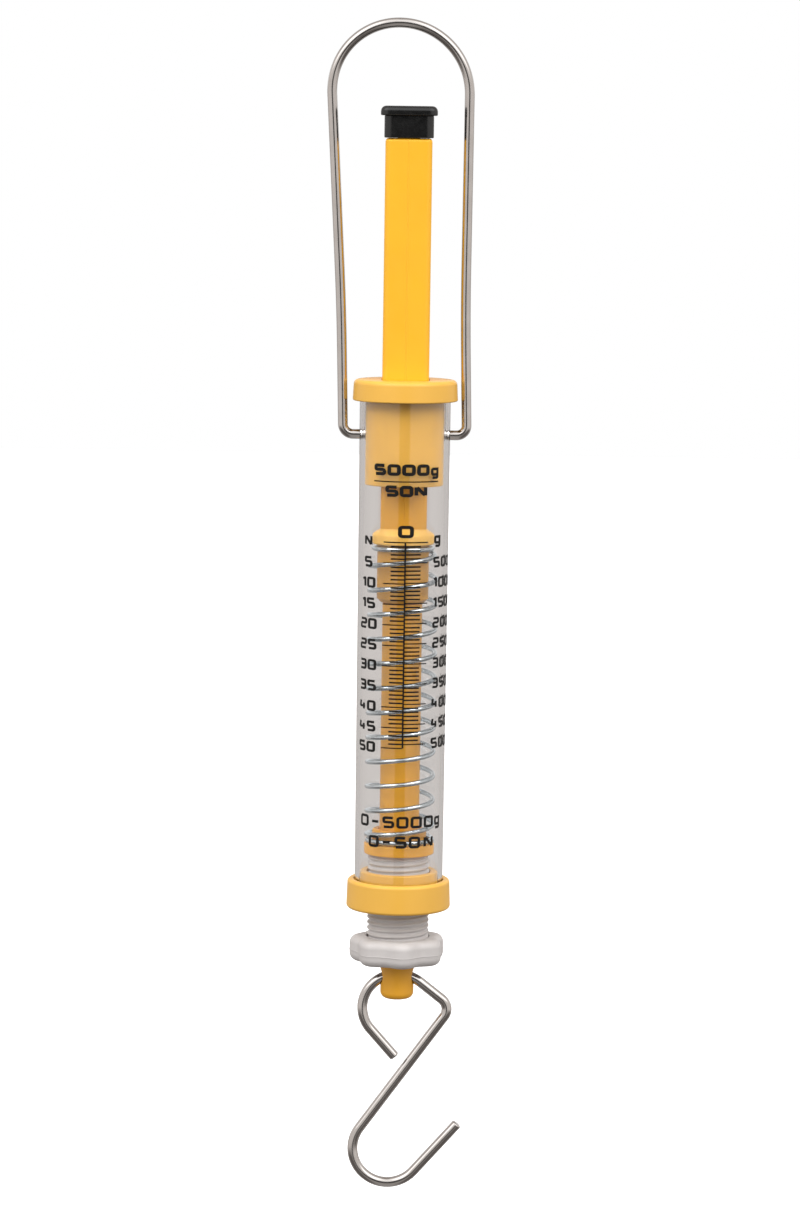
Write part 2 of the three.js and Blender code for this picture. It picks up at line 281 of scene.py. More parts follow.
def bent(x, z, heading, moves, spacing=0.6):
    """Points along a wire bent in the XZ plane. A move is (length,) for a straight or (radius, degrees) for a
    bend, and a bend is positive when it turns anticlockwise."""
    points = [(x, 0, z)]
    heading = math.radians(heading)
    for move in moves:
        radius, turn = (0.0, 0.0) if len(move) == 1 else (move[0], math.radians(move[1]))
        length = move[0] if len(move) == 1 else radius * abs(turn)
        steps = max(1, math.ceil(length / spacing))
        for _ in range(steps):
            heading += turn / steps / 2
            chord = length / steps
            if turn:
                chord = 2 * radius * math.sin(abs(turn) / steps / 2)
            x += chord * math.cos(heading)
            z += chord * math.sin(heading)
            heading += turn / steps / 2
            points.append((x, 0, z))
    return points


def cut(piece, cutter):
    """Cuts the cutter's volume out of the piece, and removes the cutter."""
    modifier = piece.modifiers.new("cut", "BOOLEAN")
    modifier.operation = "DIFFERENCE"
    modifier.solver = "EXACT"
    modifier.object = cutter
    bpy.context.view_layer.update()
    cut_mesh = bpy.data.meshes.new_from_object(piece.evaluated_get(bpy.context.evaluated_depsgraph_get()))
    piece.modifiers.clear()
    piece.data = cut_mesh
    bpy.data.objects.remove(cutter)
    cut_mesh.polygons.foreach_set("use_smooth", [True] * len(cut_mesh.polygons))
    cut_mesh.set_sharp_from_angle(angle=math.radians(35))


def cross_rod(radius, reach, height, facets=48):
    """A cutter: a round rod along X through the barrel's axis."""
    angles = [TAU * k / facets for k in range(facets)]
    circle = [(radius * math.cos(angle), radius * math.sin(angle)) for angle in angles]
    vertices = [(x, y, height + z) for x in (-reach, reach) for y, z in circle]
    return mesh_piece("cutter", vertices, grid_faces(2, facets, False, True, caps=True))


def square_rod(width, corner, bottom, top):
    section = square_points(width, corner)
    return lofted("cutter", [(bottom, section), (top, section)])


def install(piece, body, node, material):
    """Gives a finished piece its material and its body, and hides the CAD node that it stands for. Its large
    faces set the shading, so that a long wall stays straight beside a rounded edge."""
    shading = piece.modifiers.new("shading", "WEIGHTED_NORMAL")
    shading.keep_sharp = True
    piece.data.materials.clear()
    piece.data.materials.append(material)
    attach(piece, body)
    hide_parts(node)
    return piece


# ---------------------------------------------------------------- materials

def ramp(tree, value, stops):
    """A colour that goes through the (position, colour) stops as the value goes from 0 to 1."""
    node = tree.nodes.new("ShaderNodeValToRGB")
    elements = node.color_ramp.elements
    while len(elements) < len(stops):
        elements.new(0.5)
    for element, (position, colour) in zip(elements, stops):
        element.position = position
        element.color = (*colour, 1)
    tree.links.new(value, node.inputs["Fac"])
    return node.outputs["Color"]


def map_range(tree, value, low, high, to_low, to_high):
    node = tree.nodes.new("ShaderNodeMapRange")
    node.inputs["From Min"].default_value = low
    node.inputs["From Max"].default_value = high
    node.inputs["To Min"].default_value = to_low
    node.inputs["To Max"].default_value = to_high
    tree.links.new(value, node.inputs["Value"])
    return node.outputs["Result"]


def mixed(tree, factor, colour, other):
    """A colour that becomes the other plain colour as the factor goes from 0 to 1."""
    node = tree.nodes.new("ShaderNodeMix")
    node.data_type = "RGBA"
    tree.links.new(factor, node.inputs["Factor"])
    tree.links.new(colour, node.inputs["A"])
    node.inputs["B"].default_value = (*other, 1)
    return node.outputs["Result"]


class Surface:
    """A Principled material whose grain is worked out from the piece's own coordinates."""

    def __init__(self, name, colour, roughness, metallic=0.0):
        self.material = bpy.data.materials.new(name)
        self.material.use_nodes = True
        self.tree = self.material.node_tree
        self.shader = self.tree.nodes["Principled BSDF"]
        self.coordinates = self.tree.nodes.new("ShaderNodeTexCoord").outputs["Object"]
        self.set("Base Color", (*colour, 1))
        self.set("Roughness", roughness)
        self.set("Metallic", metallic)

    def set(self, socket, value):
        self.shader.inputs[socket].default_value = value

    def noise(self, size_mm, detail=3.0, stretch=(1, 1, 1)):
        """Noise whose features are about size_mm across."""
        mapping = self.tree.nodes.new("ShaderNodeMapping")
        mapping.inputs["Scale"].default_value = stretch
        noise = self.tree.nodes.new("ShaderNodeTexNoise")
        noise.inputs["Scale"].default_value = 1 / (size_mm * MM)
        noise.inputs["Detail"].default_value = detail
        self.tree.links.new(self.coordinates, mapping.inputs["Vector"])
        self.tree.links.new(mapping.outputs["Vector"], noise.inputs["Vector"])
        return noise.outputs["Fac"]

    def between(self, factor, low, high):
        """A number that goes from low to high as the factor goes over its usual middle range."""
        node = self.tree.nodes.new("ShaderNodeMapRange")
        node.inputs["From Min"].default_value = 0.3
        node.inputs["From Max"].default_value = 0.7
        node.inputs["To Min"].default_value = low
        node.inputs["To Max"].default_value = high
        self.tree.links.new(factor, node.inputs["Value"])
        return node.outputs["Result"]

    def colour_between(self, factor, dark, light):
        mix = self.tree.nodes.new("ShaderNodeMix")
        mix.data_type = "RGBA"
        mix.inputs["A"].default_value = (*dark, 1)
        mix.inputs["B"].default_value = (*light, 1)
        self.tree.links.new(self.between(factor, 0.0, 1.0), mix.inputs["Factor"])
        return mix.outputs["Result"]

    def vary_colour(self, factor, dark, light):
        self.tree.links.new(self.colour_between(factor, dark, light), self.shader.inputs["Base Color"])

    def vary_roughness(self, factor, low, high):
        self.tree.links.new(self.between(factor, low, high), self.shader.inputs["Roughness"])

    def bump(self, factor, height_mm, strength=1.0):
        bump = self.tree.nodes.new("ShaderNodeBump")
        bump.inputs["Distance"].default_value = height_mm * MM
        bump.inputs["Strength"].default_value = strength
        self.tree.links.new(factor, bump.inputs["Height"])
        self.tree.links.new(bump.outputs["Normal"], self.shader.inputs["Normal"])


def satin_plastic(name, colour, roughness):
    """Moulded plastic with a fine grain, and faint changes of colour and gloss over it."""
    surface = Surface(name, colour, roughness)
    surface.vary_colour(surface.noise(17, 2), [c * 0.975 for c in colour], [c * 1.025 for c in colour])
    surface.vary_roughness(surface.noise(3.5, 4), roughness - 0.05, roughness + 0.06)
    surface.bump(surface.noise(0.35, 2), 0.012)
    return surface.material


def graded_plastic(name, colour, roughness, painted_shade_colour, start, finish):
    """Satin plastic with painted shade: its colour changes to a painted shade colour as the height goes down
    from start to finish.
    """
    surface = Surface(name, colour, roughness)
    height = surface.tree.nodes.new("ShaderNodeSeparateXYZ")
    surface.tree.links.new(surface.coordinates, height.inputs["Vector"])
    # Painted shade: the share of the shade colour, which grows as the height goes down.
    painted_shade_share = map_range(surface.tree, height.outputs["Z"], start * MM, finish * MM, 0, 1)
    darker = [c * 0.975 for c in colour]
    paler = [c * 1.025 for c in colour]
    clouds = surface.colour_between(surface.noise(17, 2), darker, paler)
    # The painted shade is mixed over the plastic's own faint clouds of colour.
    surface.tree.links.new(mixed(surface.tree, painted_shade_share, clouds, painted_shade_colour), surface.shader.inputs["Base Color"])
    surface.vary_roughness(surface.noise(3.5, 4), roughness - 0.05, roughness + 0.06)
    surface.bump(surface.noise(0.35, 2), 0.012)
    return surface.material


def bar_yellow_plastic():
    """The square bar's yellow, with painted shade that darkens it towards its foot, where the top cap and the
    guide shade it from above.
    """
    foot = low_mm("plunger_bar")
    colour = (0.92, 0.465, 0.018)
    # Painted shade: the colour of the shaded neck at the bar's foot.
    painted_shade_colour = (0.70, 0.325, 0.015)
    return graded_plastic("yellow_plastic", colour, 0.42, painted_shade_colour, foot + 27, foot + 12)


def collar_yellow_plastic():
    """The collar is the palest piece of the plunger. The boss under its rim is darkened with painted shade,
    the shadow of the rim.
    """
    rim = high_mm("pointer_collar") - 5.9
    colour = (0.92, 0.53, 0.10)
    # Painted shade: the colour of the boss in the shadow of the rim.
    painted_shade_colour = (0.70, 0.34, 0.035)
    return graded_plastic("collar_plastic", colour, 0.4, painted_shade_colour, rim + 0.1, rim - 0.1)


def lower_yellow_plastic():
    """The plunger's lower half, a darker yellow."""
    return satin_plastic("lower_yellow_plastic", (0.82, 0.385, 0.022), 0.42)


def pale_yellow_plastic():
    """The caps and the guide: the same yellow, a little paler and glossier than the plunger."""
    return satin_plastic("pale_yellow_plastic", (0.80, 0.44, 0.065), 0.36)


def white_plastic():
    surface = Surface("white_plastic", (0.55, 0.522, 0.51), 0.4)
    surface.vary_colour(surface.noise(9, 3), (0.53, 0.502, 0.49), (0.57, 0.542, 0.53))
    surface.vary_roughness(surface.noise(2.5, 4), 0.34, 0.48)
    surface.bump(surface.noise(0.3, 2), 0.012)
    return surface.material


def black_rubber():
    surface = Surface("black_rubber", (0.005, 0.005, 0.005), 0.24)
    surface.set("Specular IOR Level", 0.6)
    surface.vary_colour(surface.noise(4, 4), (0.004, 0.004, 0.004), (0.007, 0.007, 0.007))
    surface.vary_roughness(surface.noise(1.8, 4), 0.18, 0.30)
    surface.bump(surface.noise(0.5, 3), 0.006)
    return surface.material


def steel_wire():
    surface = Surface("steel_wire", (0.58, 0.545, 0.52), 0.16, 1.0)
    surface.vary_colour(surface.noise(5, 4), (0.55, 0.515, 0.49), (0.61, 0.575, 0.55))
    surface.vary_roughness(surface.noise(2.4, 4), 0.12, 0.2)
    surface.bump(surface.noise(1.6, 2), 0.002)
    return surface.material


def spring_steel():
    surface = Surface("spring_steel", (0.52, 0.57, 0.60), 0.16, 1.0)
    surface.vary_colour(surface.noise(3, 4), (0.46, 0.52, 0.56), (0.58, 0.63, 0.66))
    surface.vary_roughness(surface.noise(1.5, 4), 0.12, 0.22)
    surface.bump(surface.noise(1.2, 2), 0.002)
    return surface.material


def clear_plastic():
    """Clear plastic that lets the lamps' light through to what is inside."""
    surface = Surface("clear_plastic", (0.985, 0.98, 0.975), 0.02)
    surface.set("Transmission Weight", 1.0)
    surface.set("IOR", 1.49)
    surface.vary_roughness(surface.noise(14, 3), 0.012, 0.03)
    tree = surface.tree
    lamplight = tree.nodes.new("ShaderNodeBsdfTransparent")
    lamplight.inputs["Color"].default_value = (0.84, 0.84, 0.84, 1)
    choice = tree.nodes.new("ShaderNodeMixShader")
    tree.links.new(tree.nodes.new("ShaderNodeLightPath").outputs["Is Shadow Ray"], choice.inputs["Fac"])
    tree.links.new(surface.shader.outputs["BSDF"], choice.inputs[1])
    tree.links.new(lamplight.outputs["BSDF"], choice.inputs[2])
    tree.links.new(choice.outputs["Shader"], tree.nodes["Material Output"].inputs["Surface"])
    return surface.material


def printed_ink():
    surface = Surface("printed_ink", (0.008, 0.007, 0.007), 0.5)
    surface.set("Specular IOR Level", 0.2)
    surface.vary_colour(surface.noise(0.6, 3), (0.005, 0.005, 0.005), (0.012, 0.011, 0.01))
    surface.vary_roughness(surface.noise(0.5, 3), 0.38, 0.55)
    return surface.material


BAR_YELLOW = bar_yellow_plastic()
COLLAR_YELLOW = collar_yellow_plastic()
LOWER_YELLOW = lower_yellow_plastic()
PALE_YELLOW = pale_yellow_plastic()
WHITE = white_plastic()
RUBBER = black_rubber()
STEEL = steel_wire()
SPRING_STEEL = spring_steel()
CLEAR = clear_plastic()
INK = printed_ink()


# ---------------------------------------------------------------- camera, lights and floor

def camera():
    data = bpy.data.cameras.new("camera")
    data.lens = CAMERA_LENS
    data.sensor_width = 36
    holder = bpy.data.objects.new("camera", data)
    bpy.context.collection.objects.link(holder)
    tilt = Euler((math.radians(90 - CAMERA_TILT), 0, math.radians(CAMERA_YAW))).to_matrix()
    roll = Matrix.Rotation(math.radians(CAMERA_ROLL), 3, "Z")
    holder.matrix_world = Matrix.Translation((0, -CAMERA_DISTANCE, CAMERA_HEIGHT)) @ (tilt @ roll).to_4x4()
    bpy.context.scene.camera = holder


def softbox(name, place, target, width, height, power):
    data = bpy.data.lights.new(name, "AREA")
    data.shape = "RECTANGLE"
    data.size = width
    data.size_y = height
    data.energy = power
    light = bpy.data.objects.new(name, data)
    bpy.context.collection.objects.link(light)
    aim = (Vector(target) - Vector(place)).to_track_quat("-Z", "Y")
    light.matrix_world = Matrix.Translation(place) @ aim.to_matrix().to_4x4()
    return light


def floor():
    """A plain white floor. The clear barrel and the bright wires show the surround and not the floor."""
    half = 6
    mesh = bpy.data.meshes.new("floor")
    corners = [(-half, -half, -0.62), (half, -half, -0.62), (half, half, -0.62), (-half, half, -0.62)]
    mesh.from_pydata(corners, [], [(0, 1, 2, 3)])
    plane = bpy.data.objects.new("floor", mesh)
    bpy.context.collection.objects.link(plane)
    surface = Surface("floor", (0.86, 0.86, 0.86), 0.9)
    surface.set("Emission Color", (1, 1, 1, 1))
    surface.set("Emission Strength", 0.6)
    mesh.materials.append(surface.material)
    plane.visible_glossy = False
    plane.visible_transmission = False
    plane.visible_diffuse = False


def product(tree, first, second):
    node = tree.nodes.new("ShaderNodeMath")
    node.operation = "MULTIPLY"
    tree.links.new(first, node.inputs[0])
    tree.links.new(second, node.inputs[1])
    return node.outputs["Value"]


def surround():
    """The studio round the scale: pale side walls, a greyer wall behind with a white backdrop low in it, a
    dark gap in front, a grey ground that is darker in front at both sides, and a ceiling over the front with
    a brighter panel at each side. The view itself shows plain white behind the scale."""
    world = bpy.data.worlds.new("studio")
    world.use_nodes = True
    tree = world.node_tree
    background = tree.nodes["Background"]
    direction = tree.nodes.new("ShaderNodeTexCoord").outputs["Generated"]
    parts = tree.nodes.new("ShaderNodeSeparateXYZ")
    tree.links.new(direction, parts.inputs["Vector"])
    sideways = tree.nodes.new("ShaderNodeMath")
    sideways.operation = "ABSOLUTE"
    tree.links.new(parts.outputs["X"], sideways.inputs[0])
    turn = tree.nodes.new("ShaderNodeMath")
    turn.operation = "ARCTAN2"
    tree.links.new(sideways.outputs["Value"], turn.inputs[0])
    tree.links.new(map_range(tree, parts.outputs["Y"], -1, 1, 1, -1), turn.inputs[1])
    from_front = map_range(tree, turn.outputs["Value"], 0, math.pi, 0, 1)
    walls = ramp(tree, from_front, WALL_STOPS)
    to_ground = map_range(tree, parts.outputs["Z"], -0.2, -0.4, 0, 1)
    room = mixed(tree, to_ground, walls, GROUND)
    beside = map_range(tree, sideways.outputs["Value"], 0.12, 0.3, 0, 1)
    ground_in_front = product(tree, to_ground, map_range(tree, parts.outputs["Y"], 0, 0.4, 1, 0))
    room = mixed(tree, product(tree, ground_in_front, beside), room, DARK_GROUND)
    behind = map_range(tree, parts.outputs["Y"], 0.3, 0.5, 0, 1)
    over_horizon = map_range(tree, parts.outputs["Z"], 0, 0.05, 0, 1)
    not_high = map_range(tree, parts.outputs["Z"], 0.2, 0.4, 1, 0)
    to_backdrop = product(tree, product(tree, behind, over_horizon), not_high)
    room = mixed(tree, to_backdrop, room, BACKDROP)
    over_front = map_range(tree, parts.outputs["Y"], -0.35, -0.2, 1, 0)
    to_ceiling = product(tree, map_range(tree, parts.outputs["Z"], 0.25, 0.45, 0, 1), over_front)
    room = mixed(tree, to_ceiling, room, CEILING)
    room = mixed(tree, product(tree, to_ceiling, beside), room, PANELS)
    in_view = tree.nodes.new("ShaderNodeLightPath").outputs["Is Camera Ray"]
    room = mixed(tree, in_view, room, [1 / SURROUND] * 3)
    tree.links.new(room, background.inputs["Color"])
    background.inputs["Strength"].default_value = SURROUND
    bpy.context.scene.world = world


def studio():
    bpy.context.scene.view_settings.view_transform = "Standard"
    floor()
    surround()
    for side in (-1, 1):
        box = softbox("top_box", (side * 0.68, -0.55, 0.78), (0, 0, 0.08), 0.7, 0.7, 5.7)
        box.visible_glossy = False


# ---------------------------------------------------------------- bail and hook

def wire_bail():
    half_width = 21.95
    end = 10.2
    corner = 3.5
    arch = 24.2
    spread = 1.7
    lean = 0.0253
    foot = half_width - corner - end
    side = [(25.0,), (1062.0, spread), (59.95,)]
    moves = [(foot,), (corner, -90), *side, (arch, -180 - 2 * spread)]
    moves += [*reversed(side), (corner, -90), (foot,)]
    points = [(x - lean * z, y, BAIL_PIVOT + z) for x, y, z in bent(-end, 0, 180, moves)]
    install(wire("bail_wire", points, BAIL_WIRE_RADIUS), "bail", "wire_bail", STEEL)


def load_hook():
    moves = [(13.5,), (12.1, -101.5), (13.2, -68), (10.0,), (4.6, -87.9), (51.3,), (12.6, 174.4), (23.8,)]
    points = bent(-0.4, HOOK_PIVOT - 29.6, 131.5, moves)
    install(wire("hook_wire", points, HOOK_WIRE_RADIUS), "hook", "load_hook", STEEL)


# ---------------------------------------------------------------- barrel, caps and guide

def barrel():
    piece = turned("barrel", [
        (BARREL_BORE, BARREL_FOOT, 0.3),
        (BARREL_FOOT_RADIUS, BARREL_FOOT, 0.3),
        (BARREL_TOP_RADIUS, BARREL_TOP, 0.3),
        (BARREL_BORE, BARREL_TOP, 0.3),
    ], facets=192, steps=3)
    cut(piece, cross_rod(BAIL_HOLE, 20, BAIL_PIVOT))
    install(piece, "housing", "barrel_tube", CLEAR)


def top_cap():
    top = high_mm("top_cap")
    foot = low_mm("top_cap")
    plate = BARREL_TOP + 0.3
    piece = turned("upper_cap", [
        (6.0, plate, 0),
        (16.45, plate, 0),
        (16.45, foot, 0.3),
        (18.7, foot, 0.5),
        (18.3, top, 1.7),
        (6.0, top, 0),
    ])
    cut(piece, square_rod(BAR_WIDTH + 2 * RUNNING, BAR_CORNER + RUNNING, foot, top + 1))
    install(piece, "housing", "top_cap", PALE_YELLOW)


def guide_sleeve():
    top = high_mm("guide_sleeve")
    foot = low_mm("guide_sleeve")
    piece = turned("guide_bush", [(6.0, foot, 0), (13.9, foot, 0.4), (13.9, top, 0.4), (6.0, top, 0)])
    cut(piece, square_rod(BAR_WIDTH + 2 * RUNNING, BAR_CORNER + RUNNING, foot - 1, top + 1))
    cut(piece, cross_rod(BAIL_HOLE, 20, BAIL_PIVOT))
    install(piece, "housing", "guide_sleeve", PALE_YELLOW)


def bottom_cap():
    top_of_spigot = high_mm("bottom_cap")
    foot = low_mm("bottom_cap")
    shoulder = foot + 10.5
    floor = BARREL_FOOT - 0.3
    bore = BUSH_CREST + 0.35
    piece = turned("lower_cap", [
        (bore, foot, 0.5),
        (18.7, foot, 1.1),
        (18.35, shoulder, 1.2),
        (16.1, shoulder, 0.3),
        (16.1, floor, 0),
        (13.9, floor, 0),
        (13.9, top_of_spigot, 0.5),
        (bore, top_of_spigot, 0.3),
    ])
    install(piece, "housing", "bottom_cap", PALE_YELLOW)


# ---------------------------------------------------------------- plunger

def push_cap():
    top = high_mm("push_cap")
    flange = top - 3.3
    foot = high_mm("plunger_bar") + 0.05
    plug_foot = low_mm("push_cap")
    corner = 2.4
    edge = 1.9
    sections = [(plug_foot, round_ring(4)), (foot, round_ring(4)), (foot, square_ring(16.8, corner - 0.3))]
    for inset, drop in quarter_insets(0.3, 2)[1:]:
        sections.append((foot + drop, square_ring(17.4 - 2 * inset, corner - inset)))
    sections.append((flange - 0.35, square_ring(17.4, corner)))
    sections.append((flange - 0.05, square_ring(17.1, corner)))
    for inset, drop in quarter_insets(0.35, 3):
        sections.append((flange + drop, square_ring(20.0 - 2 * inset, corner + 0.2 - inset)))
    for inset, drop in reversed(quarter_insets(edge, 7)):
        sections.append((top - drop, square_ring(20.0 - 2 * inset, max(corner + 0.2 - inset, 0.5))))
    piece = lofted("rubber_cap", sections)
    install(piece, "plunger", "push_cap", RUBBER)


def plunger_bar():
    top = high_mm("plunger_bar")
    foot = high_mm("pointer_collar") + 0.03
    edge = 1.3
    seam = 0.12
    top_width = BAR_WIDTH - 0.1
    foot_width = BAR_WIDTH
    neck_width = BAR_WIDTH - 0.5
    sections = [
        (foot, square_points(neck_width, BAR_CORNER, seam)),
        (BARREL_TOP - 33, square_points(neck_width, BAR_CORNER, seam)),
        (BARREL_TOP - 24, square_points(foot_width, BAR_CORNER, seam)),
    ]
    for inset, drop in reversed(quarter_insets(edge)):
        width = top_width - 2 * inset
        sections.append((top - drop, square_points(width, BAR_CORNER - inset, seam)))
    piece = lofted("square_bar", sections)
    install(piece, "plunger", "plunger_bar", BAR_YELLOW)


def pointer_collar():
    """The collar flares from the square bar to a round rim, with the boss for the spring under it."""
    top = high_mm("pointer_collar")
    foot = low_mm("pointer_collar")
    rim = top - 5.9
    rim_top = rim + 3.2
    rim_radius = 11.05
    boss_radius = 9.2
    bar = square_ring(BAR_WIDTH - 0.5, BAR_CORNER)
    sections = [(foot, round_ring(5.3)), (foot, round_ring(boss_radius - 1.3))]
    sections += [(foot + 1.3, round_ring(boss_radius)), (rim, round_ring(boss_radius))]
    sections += [(rim, round_ring(rim_radius - 0.8))]
    sections += [(rim + drop, round_ring(rim_radius - inset)) for inset, drop in quarter_insets(0.8)[1:]]
    flare = 12
    for step in range(flare + 1):
        share = step / flare
        spread = 1 - smooth(share, 0, 1)
        points = [tuple(Vector(b).lerp(Vector(r), spread)) for b, r in zip(bar, round_ring(rim_radius))]
        sections.append((rim_top + share * (top - rim_top), points))
    sections.append((top, round_ring(5.3)))
    install(lofted("collar", sections), "plunger", "pointer_collar", COLLAR_YELLOW)


def plunger_stem():
    top = high_mm("plunger_stem")
    tip = low_mm("plunger_stem")
    shoulder = low_mm("pointer_collar") - 0.3
    step = HOOK_PIVOT + 23
    hair = 0.01
    piece = turned("stem", [
        (hair, tip, 0),
        (6.0, tip, 2.4),
        (6.0, step - 1, 0),
        (7.1, step, 0),
        (7.1, shoulder, 0.4),
        (5.0, shoulder, 0),
        (5.0, top, 0.4),
        (hair, top, 0),
    ])
    cut(piece, cross_rod(3.0, 20, HOOK_PIVOT))
    install(piece, "plunger", "plunger_stem", LOWER_YELLOW)


# ---------------------------------------------------------------- spring, seat and zero adjuster

def load_spring():
    turns = 13.7
    top = high_mm("load_spring") - SPRING_WIRE_RADIUS
    foot = low_mm("load_spring") + SPRING_WIRE_RADIUS
    top_ramp = (0.5, 1.5)
    foot_ramp = (turns - 1.3, turns - 0.3)
    open_pitch = 2 * (top - foot) / (sum(foot_ramp) - sum(top_ramp))
    steps = round(turns * 56)
    points = []
    height = top
    for step in range(steps + 1):
        turn = turns * step / steps
        openness = smooth(turn, *top_ramp) * (1 - smooth(turn, *foot_ramp))
        height -= open_pitch * openness * turns / steps if step else 0
        drawn_out = smooth(turn, 0.9, 1.6)
        radius = 10.4 + (11.8 - 10.4) * drawn_out
        angle = TAU / 4 - TAU * turn
        points.append((radius * math.cos(angle), radius * math.sin(angle), height))
    piece = wire("coil_spring", points, SPRING_WIRE_RADIUS, sides=14)
    install(piece, "seat", "load_spring", SPRING_STEEL)
    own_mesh(piece)


def smooth(value, low, high):
    share = min(max((value - low) / (high - low), 0), 1)
    return share * share * (3 - 2 * share)


def spring_seat():
    top = high_mm("spring_seat")
    foot = low_mm("spring_seat")
    face = foot + 3.9
    piece = turned("seat_ring", [
        (BUSH_BORE, foot, 0.3),
        (12.55, foot, 0.5),
        (12.55, face, 0.6),
        (9.7, face, 0.3),
        (9.7, top, 0.8),
        (BUSH_BORE, top, 0.3),
    ])
    install(piece, "seat", "spring_seat", LOWER_YELLOW)


def zero_adjust_bush():
    """The threaded bush: a right-handed thread with rounded crests, which fades out at both ends."""
    foot = low_mm("zero_adjust_bush")
    top = high_mm("zero_adjust_bush")
    facets = 96
    rows = round((top - foot) / (THREAD_PITCH / 12))
    vertices = []
    for row in range(rows + 1):
        height = foot + (top - foot) * row / rows
        fade = smooth(min(height - foot, top - height), 0, 1.2)
        for k in range(facets):
            phase = height / THREAD_PITCH - k / facets
            crest = smooth(math.cos(TAU * phase), -0.95, 0.85)
            radius = BUSH_ROOT + (BUSH_CREST - BUSH_ROOT) * crest * fade
            angle = TAU * k / facets
            vertices.append((radius * math.cos(angle), radius * math.sin(angle), height))
    for height in (top, foot):
        for k in range(facets):
            angle = TAU * k / facets
            vertices.append((BUSH_BORE * math.cos(angle), BUSH_BORE * math.sin(angle), height))
    faces = grid_faces(rows + 3, facets, True, True)
    piece = mesh_piece("threaded_bush", vertices, faces, 60)
    install(piece, "adjuster", "zero_adjust_bush", WHITE)


def zero_adjust_knob():
    """The lobed knob: soft edges all round, and a fine moulding line round its middle."""
    foot = low_mm("zero_adjust_knob")
    top = high_mm("zero_adjust_knob")
    middle = (top + foot) / 2 - 0.6
    bore = BUSH_CREST + 0.3
    edge = 2.9
    line = 0.2

    def ring(height, inset):
        points = []
        for k in range(196):
            angle = TAU * k / 196
            radius = 16.3 + 1.05 * math.cos(7 * (angle + math.radians(82))) - inset
            points.append((radius * math.cos(angle), radius * math.sin(angle), height))
        return points

    def bore_ring(height):
        return [(bore * math.cos(TAU * k / 196), bore * math.sin(TAU * k / 196), height) for k in range(196)]

    rings = [bore_ring(foot)]
    rings += [ring(foot + drop, inset) for inset, drop in quarter_insets(edge, 8)]
    rings += [ring(middle - line, 0.0), ring(middle - line / 2, -0.12), ring(middle + line / 2, -0.12)]
    rings += [ring(middle + line, 0.0)]
    rings += [ring(top - drop, inset) for inset, drop in reversed(quarter_insets(edge, 8))]
    rings += [bore_ring(top)]
    vertices = [point for row in rings for point in row]
    piece = mesh_piece("lobed_knob", vertices, grid_faces(len(rings), 196, True, True), 60)
    install(piece, "adjuster", "zero_adjust_knob", WHITE)


# ---------------------------------------------------------------- printed scale

# Each sign is drawn in a box one wide and one high, as lines of (x, y, corner) points. A line whose first and
# last points agree is closed.
ROUND = 0.16
ONE_SHIFT = 0.35
SIGNS = {
    "0": [[(0.5, 0, 0), (0, 0, ROUND), (0, 1, ROUND), (1, 1, ROUND), (1, 0, ROUND), (0.5, 0, 0)]],
    "1": [[(0.55, 0.84, 0), (1, 1, 0.04), (1, 0, 0)]],
    "2": [[(0, 1, 0), (1, 1, ROUND), (1, 0.5, ROUND), (0, 0.5, ROUND), (0, 0, 0.1), (1, 0, 0)]],
    "3": [[(0, 1, 0), (1, 1, ROUND), (1, 0, ROUND), (0, 0, 0)], [(0.15, 0.5, 0), (1, 0.5, 0)]],
    "4": [[(0.12, 1, 0), (0, 0.34, 0.08), (1, 0.34, 0)], [(0.76, 0.72, 0), (0.76, 0, 0)]],
    "5": [[(1, 1, 0), (0, 1, 0.1), (0, 0.52, 0.1), (1, 0.52, ROUND), (1, 0, ROUND), (0, 0, 0)]],
    "N": [[(0, 0, 0), (0, 1, 0)], [(0.05, 0.97, 0), (0.95, 0.03, 0)], [(1, 0, 0), (1, 1, 0)]],
    "g": [
        [(1, 0.6, 0), (1, 1, 0), (0, 1, ROUND), (0, 0, ROUND), (1, 0, 0)],
        [(1, 0.6, 0), (1, -0.58, ROUND), (0.08, -0.58, 0)],
    ],
    "-": [[(0.1, 0.5, 0), (0.9, 0.5, 0)]],
    " ": [],
}


